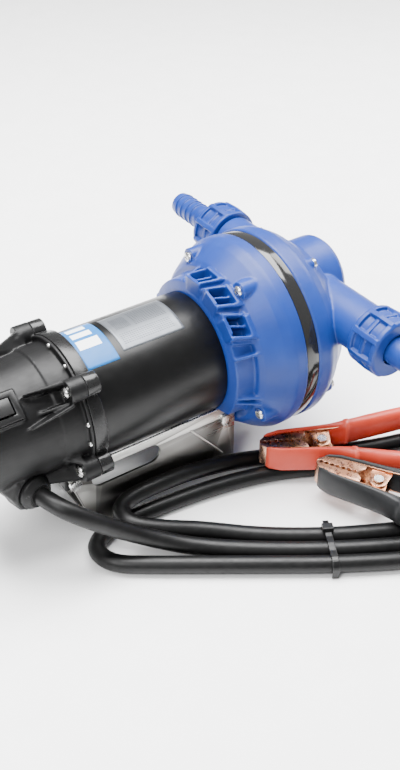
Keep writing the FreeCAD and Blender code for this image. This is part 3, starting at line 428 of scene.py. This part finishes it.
BLACK_ROUTE = [
    (0.19186, -0.13615, 0.01329), (0.20072, -0.1283, 0.0153), (0.211, -0.13, 0.0167), (0.217, -0.1395, 0.018),
    (0.218, -0.1525, 0.019), (0.214, -0.167, 0.0202), (0.206, -0.181, 0.0212), (0.194, -0.1905, 0.0224),
    (0.18007, -0.18952, 0.0224), (0.17096, -0.18025, 0.0224), (0.15834, -0.16741, 0.0224)
]
cable = cord("cable_look", CABLE_ROUTE, CABLE_RADIUS * MM, CABLE, "power_cable")
red_wire = cord("red_lead_look", RED_ROUTE, LEAD_RADIUS * MM, RED_WIRE, "red_lead")
black_wire = cord("black_lead_look", BLACK_ROUTE, LEAD_RADIUS * MM, CABLE, "black_lead")

# ---------------------------------------------------------------- CAD pieces, plain or with eased edges
PLAIN = {"field_magnets": FERRITE, "armature_core": INNER_STEEL, "armature_windings": WIRE,
         "commutator": COPPER, "motor_shaft": INNER_STEEL, "motor_bearings": INNER_STEEL,
         "brush_holder": NYLON, "brushes": CARBON,
         "brush_springs": INNER_STEEL, "gland_body": NYLON, "gland_seal": RUBBER, "wobble_hub": INNER_STEEL,
         "wobble_bearing": INNER_STEEL, "wobble_plate": NYLON, "piston_caps": NYLON, "diaphragm": RUBBER,
         "valve_plate": NYLON, "valve_flaps": RUBBER, "chamber_seal": RUBBER, "bypass_poppet": NYLON,
         "clamp_pins": SCREW, "clamp_springs": INNER_STEEL, "bypass_retainer": NYLON, "union_gaskets": RUBBER}
for node_name, paint in PLAIN.items():
    CAD[node_name].data.materials.clear()
    CAD[node_name].data.materials.append(paint)
eased("motor_can", CAN, 0.5)


def coil(name, low, high, radius, wire, turns):
    """A compression spring on the port axis, between two distances along +Y in mm."""
    steps = turns * 24
    rows = []
    for i in range(steps + 1):
        a = math.tau * turns * i / steps
        out = Vector((math.cos(a), 0, math.sin(a)))
        centre = Vector((PORT_X, low + wire + (high - low - 2 * wire) * i / steps, LIFT)) + out * radius
        rows.append([centre + (out * math.cos(b) + Vector((0, 1, 0)) * math.sin(b)) * wire
                     for b in (math.tau * k / 8 for k in range(8))])
    return rows_mesh(name, rows)


spring = coil("bypass_spring_look", 11.8, 22.8, 4.7, 0.6, 6)
dressed(spring, INNER_STEEL, "pump", ("bypass_spring",))
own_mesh(spring)
eased("rear_end_bell", CASTING, 0.7, 3)
eased("band_clamp", BAND, 0.3)
eased("band_bolt_and_nut", SCREW, 0.4)
eased("switch_housing", NYLON, 0.6, 3)
eased("switch_rocker", NYLON, 0.8, 3)
for jaw in ("red_fixed_jaw", "red_moving_jaw", "black_fixed_jaw", "black_moving_jaw"):
    eased(jaw, COPPER, 0.15)
sleeve = moulded("split_sleeve_look", [copied("split_sleeve", "rough")], 0.4, 8)
dressed(sleeve, RUBBER, "pump", ("split_sleeve",))


# ---------------------------------------------------------------- vinyl grips and cable tie
# The tip of each clamp, its heading in degrees and its vinyl
CLAMPS = {"red": ((65, -52), -28.5, RED), "black": ((86, -89), -60, GREY)}
# Stations along a handle: distance from the tip, distance from the middle line, half thickness, half height
GRIP = [(3.6, 6.5, 1.1, 8.6), (6, 7.6, 1.7, 9.6), (14, 9.9, 2.1, 10), (30, 11.1, 2.2, 10), (44, 12, 2.6, 10),
        (52, 12.6, 3.6, 9.9), (60, 14, 4.9, 9.8), (63, 14.8, 5.5, 9.8), (63.6, 14.9, 6.2, 10.2),
        (66.4, 15.6, 6.2, 10.2), (67, 15.8, 5.4, 9.6), (80, 19.1, 5.7, 9.6), (100, 24.1, 5.7, 9.4),
        (112, 26.9, 5.5, 9.2), (118.5, 28, 4.8, 8.4), (121.2, 28.2, 3.4, 6.6), (122, 28.2, 1.6, 4)]
RIBBED = (67, 118)              # the stretch of a black handle that has ribs
RIB_PITCH, RIB_HEIGHT = 1.1, 0.32
OVAL = 2.6                      # 2 is an ellipse, more is squarer


def grip(colour, half):
    """A dipped vinyl sleeve: oval rings along one half of a clamp, with a collar. The black one has ribs."""
    (tip_x, tip_y), heading, paint = CLAMPS[colour]
    a = math.radians(heading)
    side = 1 if half == "fixed" else -1
    along, out = Vector((math.cos(a), math.sin(a), 0)), Vector((-math.sin(a), math.cos(a), 0))
    stations = []
    for (x0, y0, t0, h0), (x1, y1, t1, h1) in zip(GRIP, GRIP[1:]):
        ribbed = colour == "black" and RIBBED[0] <= x0 < RIBBED[1]
        steps = max(1, round((x1 - x0) / RIB_PITCH)) if ribbed else 1
        for i in range(steps):
            k = i / steps
            rib = RIB_HEIGHT * (1 if i % 2 else -1) if steps > 1 else 0
            stations.append((x0 + (x1 - x0) * k, y0 + (y1 - y0) * k, t0 + (t1 - t0) * k + rib,
                             h0 + (h1 - h0) * k + rib))
    stations.append(GRIP[-1])
    rows = []
    for x, y, thick, high in stations:
        row = []
        for i in range(40):
            c, d = math.cos(math.tau * i / 40), math.sin(math.tau * i / 40)
            bulge = (abs(c) ** OVAL + abs(d) ** OVAL) ** (-1 / OVAL)
            where = Vector((tip_x, tip_y, CLAMP_Z)) + along * x + out * (side * y + thick * c * bulge)
            row.append(where + Vector((0, 0, high * d * bulge)))
        rows.append(row)
    item = rows_mesh("%s_%s_grip_look" % (colour, half), rows)
    node = "%s_%s_grip" % (colour, half)
    dressed(item, paint, BODY[node], (node,), 60)


for colour in CLAMPS:
    grip(colour, "fixed")
    grip(colour, "moving")


def tie():
    """A nylon strap over three strands, with its head and cut tail."""
    middle, way = Vector((55.5, -141.8, 0)), Vector((41, -23, 0)).normalized()
    side = Vector((-way.y, way.x, 0))
    strand = 12.6               # the outer strands' distance from the middle one
    radius = 6.75

    def bend(centre, angles):
        return [(centre + radius * math.cos(math.radians(t)), CABLE_Z + radius * math.sin(math.radians(t)), t)
                for t in angles]

    # Distance across the strands, height, and the way the strap faces in degrees
    path = [(-19.2, 0.4, 180), (-19.3, 5, 180)] + bend(-strand, range(165, 89, -15))
    path += [(-6.3, 12.2, 90), (0, 12.8, 90), (6.3, 12.2, 90)]
    path += bend(strand, range(90, 14, -15)) + [(19.3, 5, 0), (19.2, 0.4, 0)]
    section = ((-2.2, -0.5), (2.2, -0.5), (2.4, 0), (2.2, 0.5), (-2.2, 0.5), (-2.4, 0))
    rows = []
    for across, high, angle in path:
        lean = math.radians(angle)
        normal = side * math.cos(lean) + Vector((0, 0, math.sin(lean)))
        at = middle + side * across + Vector((0, 0, high))
        rows.append([at + way * w + normal * t for w, t in section])
    strap = rows_mesh("strap", rows)
    corner = middle + side * strand
    head = hull("head", [corner + way * w + side * k + Vector((0, 0, z)) for w in (-3.6, 3.6)
                         for k, z in ((-3.4, 12.4), (3.8, 12.2), (-2.6, 16), (3, 15.8))])
    tail = hull("tail", [corner + way * w + side * k + Vector((0, 0, z)) for w in (-2, 2)
                         for k, z in ((3, 13.4), (3, 14.6), (8.5, 11.8), (8.2, 12.8))])
    dressed(moulded("cable_tie_look", [strap, head, tail], 0.3, 3), NYLON, "pump",
            ("cable_tie",))


tie()


# ---------------------------------------------------------------- screws
def pan_head(x, radius, angle, size, high):
    """A domed screw head that faces the rear, with a cross recess."""
    centre = polar(x, radius, angle)
    profile = [(0, size * 0.96), (high * 0.35, size), (high * 0.7, size * 0.86), (high * 0.93, size * 0.6),
               (high, size * 0.3)]
    head = spun("head", centre, (-1, 0, 0), profile, 28)
    top = centre.x - high
    arm, half = size * 0.55, size * 0.13
    tools = []
    for dy, dz in ((arm, half), (half, arm)):
        tools.append(hull("tool", [(top + dx, centre.y + sy * dy, centre.z + sz * dz)
                                   for dx in (-1, high * 0.45) for sy in (-1, 1) for sz in (-1, 1)]))
    return without(head, tools)


def screw_set(node, x, radius, angles, size, high, shank=0):
    """One look for a ring of screws. Where no shank is given, its hole hides it."""
    parts = [pan_head(x, radius, a, size, high) for a in angles]
    if shank:
        parts += [spun("shank", polar(x, radius, a), (1, 0, 0), [(0, 2), (shank, 2)], 20) for a in angles]
    dressed(joined(node + "_look", parts), SCREW, BODY[node], (node,), 40)


COVER_BACK = -67.7
EARS = (45, 135, 205, 335)      # angles of the ears on the rear cover
LUGS = (60, 116, 207, 337)      # angles of the lugs on the pump housing
screw_set("rear_cover_screws", COVER_BACK - 3, 49, EARS, 3.9, 2.6, shank=18)
screw_set("end_bell_screws", -62, 44.1, (15, 87, 114, 165, 184, 355), 1.75, 1.4)
screw_set("housing_screws", 61.5, 61.5, LUGS, 3.8, 2.4, shank=22)
eased("head_screws", SCREW, 0.6, 3)
eased("bracket_screws", SCREW, 0.6, 3)


# ---------------------------------------------------------------- labels
LABEL_RADIUS, LABEL_THICK = 43.16, 0.16


def label(node, x0, x1, angle0, angle1, paint):
    """A thin film on the can, with u along the motor and v up round it."""
    shape = bmesh.new()
    film = shape.loops.layers.uv.new("UVMap")
    across, around = 24, 24
    grid = []
    for j in range(around + 1):
        row = []
        for i in range(across + 1):
            u, v = i / across, j / around
            place = polar(x0 + (x1 - x0) * u, LABEL_RADIUS, angle0 + (angle1 - angle0) * v)
            row.append((shape.verts.new(place * MM), u, v))
        grid.append(row)
    for j in range(around):
        for i in range(across):
            corners = [grid[j][i], grid[j][i + 1], grid[j + 1][i + 1], grid[j + 1][i]]
            face = shape.faces.new([c[0] for c in corners])
            for loop, corner in zip(face.loops, corners):
                loop[film].uv = corner[1:]
    bmesh.ops.recalc_face_normals(shape, faces=shape.faces)
    mesh = bpy.data.meshes.new(node + "_look")
    shape.to_mesh(mesh)
    shape.free()
    item = linked(node + "_look", mesh)
    thick = item.modifiers.new("thick", "SOLIDIFY")
    thick.thickness = LABEL_THICK * MM
    thick.offset = -1
    item = baked(item)
    dressed(item, paint, "pump", (node,))


label("motor_label", -49.5, -27, 124, 66, BLUE_LABEL)
label("rating_label", -22.5, 23.5, 119, 72, SILVER_LABEL)


# ---------------------------------------------------------------- bracket
eased("mounting_bracket", STAINLESS, 0.35, 3)
creases = [spun("crease", (19.9, y, 49), (28.3, 0, -34.7), [(0, 0.2), (2, 0.75), (42.5, 0.75), (44.5, 0.2)], 12)
           for y in (-31.45, 31.45)]
# Rounded rods along the top edges of both plates. Their shape is the real bent edge, but they are given the
# brighter screw steel instead of the plate's stainless: a painted highlight along the bent edges.
edge_highlight_rods = [spun("edge", (-50, y, 56.3), (1, 0, 0), [(0, 0.7), (0.6, 1.1), (106.6, 1.1), (107.2, 0.7)], 16)
         for y in (-30.9, 30.9)]
dressed(joined("bracket_edge_highlights", edge_highlight_rods), SCREW, "pump")
dressed(joined("bracket_creases", creases), STAINLESS, "pump")


# ---------------------------------------------------------------- rear cover
GLAND = Vector((-99.5, -31, 57))      # where the cable gland stands on the cover
GLAND_WAY = Vector((0.2419, -0.9703, 0))
# The eight-sided seat that the gland stands in, bored for the gland
facets = spun("facets", GLAND - GLAND_WAY * 13, GLAND_WAY, [(0, 12), (2, 15), (13.2, 15), (15, 13.6)], 8)
seat = without(facets, [spun("tool", GLAND - GLAND_WAY * 30, GLAND_WAY, [(0, 9), (60, 9)], 32)])


def spear(tip_x, tip, root):
    """A pointed gusset, from the angle of its tip on the cover to the angle of its root at the ear."""
    return hull("spear", [polar(tip_x, 40, tip)] + [polar(tip_x + 2, 45.4, tip, k * 0.4) for k in (-1, 1)]
                + [polar(-70, 40, root, k * 1.8) for k in (-1, 1)] + [polar(-70, 53, root, k) for k in (-1, 1)])


spears = [spear(*s) for s in ((-96, 124, 128.5), (-99, 151.5, 145), (-94, 218, 212), (-95, 34, 39),
                              (-95, 57, 52), (-95, 344, 340), (-95, 326, 330))]
dressed(moulded("rear_cover_look", [copied("rear_cover", "rough"), seat] + spears, 0.7, 4), COVER, "pump",
        ("rear_cover",))
dressed(moulded("gland_nut_look", [copied("gland_nut", "rough")], 0.4, 8), COVER, "pump",
        ("gland_nut",))


# ---------------------------------------------------------------- pump housing
def blade(x0, x1, r0, r1, angle, wide, lean):
    """A wall on the neck that leans round the motor towards the dome."""
    points = [polar(x, r, angle + turn, side * wide / 2) for x, turn in ((x0, -lean), (x1, lean))
              for r in (r0, r1 - (1.6 if x == x0 else 0)) for side in (-1, 1)]
    return hull("blade", points)


BOXES = (91, 113, 136)          # angles of the open boxes on the neck
NECK = 48                       # radius from which the walls on the neck stand up
parts = []
for angle in BOXES:
    parts += [blade(44.3, 57.5, NECK, 58.6, angle - 8.4, 1.9, 2.5),
              blade(44.3, 60.5, NECK, 59.8, angle + 8.4, 2.3, 2.5),
              blade(45, 60, NECK, 56.4, angle, 1.7, 3),
              slab("hood", 57.2, 60, NECK, 59.6, angle + 2.5, 16, 15),
              slab("sill", 44, 46.4, NECK, 56, angle - 3, 15, 13)]
# Low walls between the boxes
for angle in (102, 124.5, 147.5):
    parts.append(blade(44.3, 58.5, NECK, 55.6, angle, 2.2, 2))
# Fins round the rest of the neck: angle, start along the motor, radius of the top
for angle, x0, top in ((158, 43.5, 58.5), (193, 44.5, 59), (198, 44.5, 60), (343, 44.5, 59), (22, 44, 57.5),
                       (75, 44, 57.5)):
    parts.append(hull("fin", [polar(x, r, angle, side) for side in (-1, 1)
                              for x, r in ((x0, 49), (x0 + 1, 52.5), (60.5, top), (60.5, 49))]))
pockets = [slab("pocket", 43.4, 57.2, 48.2, 64, angle, 17, 22) for angle in BOXES]
parts.append(without(copied("pump_housing", "shell"), pockets))
dressed(moulded("pump_housing_look", parts, 0.7, 4), BLUE, "pump", ("pump_housing",))


# ---------------------------------------------------------------- pump head
dressed(moulded("pump_head_look", [copied("pump_head", "rough")], 0.7, 9), BLUE, "pump",
        ("pump_head",))


# ---------------------------------------------------------------- unions
NUT_REACH = 78                  # from the middle plane to the near end of a nut
NUT_RIBS = 8


def union_nut(name, sign):
    """A nut with a rim at each end and ribs that frame sunk panels."""
    start, way = Vector((PORT_X, sign * NUT_REACH, LIFT)), Vector((0, sign, 0))
    loop = [(0.2, 15.4), (0.2, 20.2), (1, 21), (4, 21), (4.6, 18.7), (20.4, 18.5), (21, 20.6), (24, 20.3),
            (25, 19.2), (25, 11), (19.4, 11), (19.4, 15.4), (0.2, 15.4)]
    shell = spun("shell", start, way, loop, 72)
    tidy = bmesh.new()
    tidy.from_mesh(shell.data)
    tidy.faces.ensure_lookup_table()
    bmesh.ops.delete(tidy, geom=[f for f in tidy.faces if len(f.verts) > 4], context="FACES_ONLY")
    bmesh.ops.remove_doubles(tidy, verts=tidy.verts, dist=1e-6)
    tidy.to_mesh(shell.data)
    tidy.free()

    def round_nut(degrees, stations):
        """Points on both sides of a radius of the nut. A station is distance along, radius, half width."""
        a = math.radians(degrees)
        out, across = Vector((math.cos(a), 0, math.sin(a))), Vector((-math.sin(a), 0, math.cos(a)))
        return [start + way * along + out * r + across * k * half
                for along, r, half in stations for k in (-1, 1)]

    parts = [shell]
    rib = ((1, 17.5, 2.3), (1, 21.2, 1.9), (12, 21.9, 1.9), (23.6, 21.2, 1.7), (23.6, 17.5, 2.1))
    panel = ((10.5, 17, 5.6), (10.5, 19.4, 5.2), (13.5, 17, 5.6), (13.5, 19.4, 5.2))
    for i in range(NUT_RIBS):
        angle = 360 / NUT_RIBS * i + 12
        parts.append(hull("rib", round_nut(angle, rib)))
        parts.append(hull("panel", round_nut(angle + 180 / NUT_RIBS, panel)))
    return moulded(name + "_look", parts, 0.45, 4)


for side, sign in (("inlet", -1), ("outlet", 1)):
    nut = side + "_union_nut"
    tail = side + "_hose_tail"
    dressed(union_nut(nut, sign), BLUE, BODY[nut], (nut,))
    dressed(moulded(tail + "_look", [copied(tail, "rough")], 0.4, 2), BLUE, BODY[tail], (tail,))


# ---------------------------------------------------------------- floor and light
floor = rows_mesh("floor", [[(-4000, -4000, z), (4000, -4000, z), (4000, 4000, z), (-4000, 4000, z)]
                            for z in (-20, -0.1)])
floor.data.materials.append(FLOOR)


LIT = Vector((0.03, 0, 0.06))         # the point that every lamp faces


def lamp(name, place, size, power):
    data = bpy.data.lights.new(name, "AREA")
    data.shape = "RECTANGLE"
    data.size, data.size_y = size
    data.energy = power
    item = bpy.data.objects.new(name, data)
    scene.collection.objects.link(item)
    item.location = place
    item.rotation_euler = (LIT - Vector(place)).to_track_quat("-Z", "Y").to_euler()


lamp("top_light", (0.1, 0.25, 1.4), (1.4, 1.0), 125)
lamp("key_light", (-1.0, -0.5, 1.1), (0.6, 0.8), 22)
lamp("rim_light", (1.0, 0.2, 0.8), (0.5, 0.7), 16)
world = bpy.data.worlds.new("studio")
world.use_nodes = True
world.node_tree.nodes["Background"].inputs["Color"].default_value = (1, 1, 1, 1)
world.node_tree.nodes["Background"].inputs["Strength"].default_value = 0.5
scene.world = world
